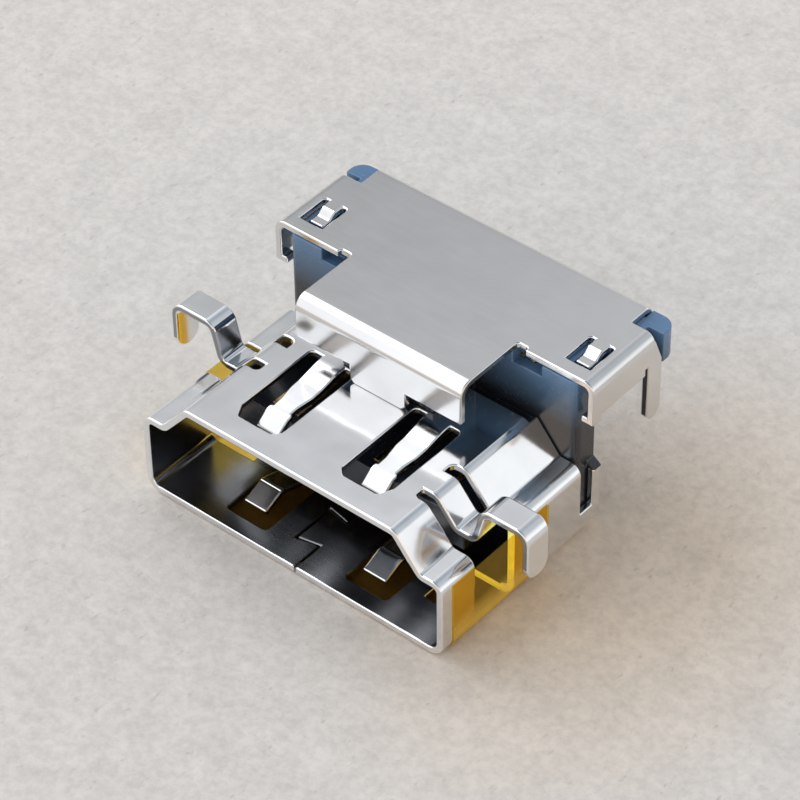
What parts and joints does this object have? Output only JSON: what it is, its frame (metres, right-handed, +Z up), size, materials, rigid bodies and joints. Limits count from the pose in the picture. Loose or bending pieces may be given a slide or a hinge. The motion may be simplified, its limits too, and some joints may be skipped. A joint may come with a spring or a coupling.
{
  "type": "digital video socket",
  "caption": "Board-mounted digital video socket, sunk type, with a folded metal shell round a trapezoid mouth, spring fingers, side solder legs and a rear cover.",
  "frame": {"origin": "middle of the mouth's lower front edge, on the underside of the shell's floor", "axes": "+Y from the mouth to the rear, +Z up from the shell's floor to the rear cover, +X to the right seen from the front"},
  "size_m": [0.0186, 0.0133, 0.0079],
  "materials": {
    "shell_metal": "bright nickel plating on drawn steel sheet",
    "cover_metal": "satin nickel plating on steel sheet",
    "contact_metal": "thin gold plating",
    "black_plastic": "glossy moulded high-temperature plastic",
    "amber_film": "clear amber polyimide film, drawn solid in the preview"
  },
  "bodies": {
    "root": {"front_shell": "shell_metal", "rear_cover": "cover_metal", "housing": "black_plastic", "contact_01": "contact_metal", "contact_02": "contact_metal", "contact_03": "contact_metal", "contact_04": "contact_metal", "contact_05": "contact_metal", "contact_06": "contact_metal", "contact_07": "contact_metal", "contact_08": "contact_metal", "contact_09": "contact_metal", "contact_10": "contact_metal", "contact_11": "contact_metal", "contact_12": "contact_metal", "contact_13": "contact_metal", "contact_14": "contact_metal", "contact_15": "contact_metal", "contact_16": "contact_metal", "contact_17": "contact_metal", "contact_18": "contact_metal", "contact_19": "contact_metal", "tape": "amber_film"}
  },
  "joints": []
}
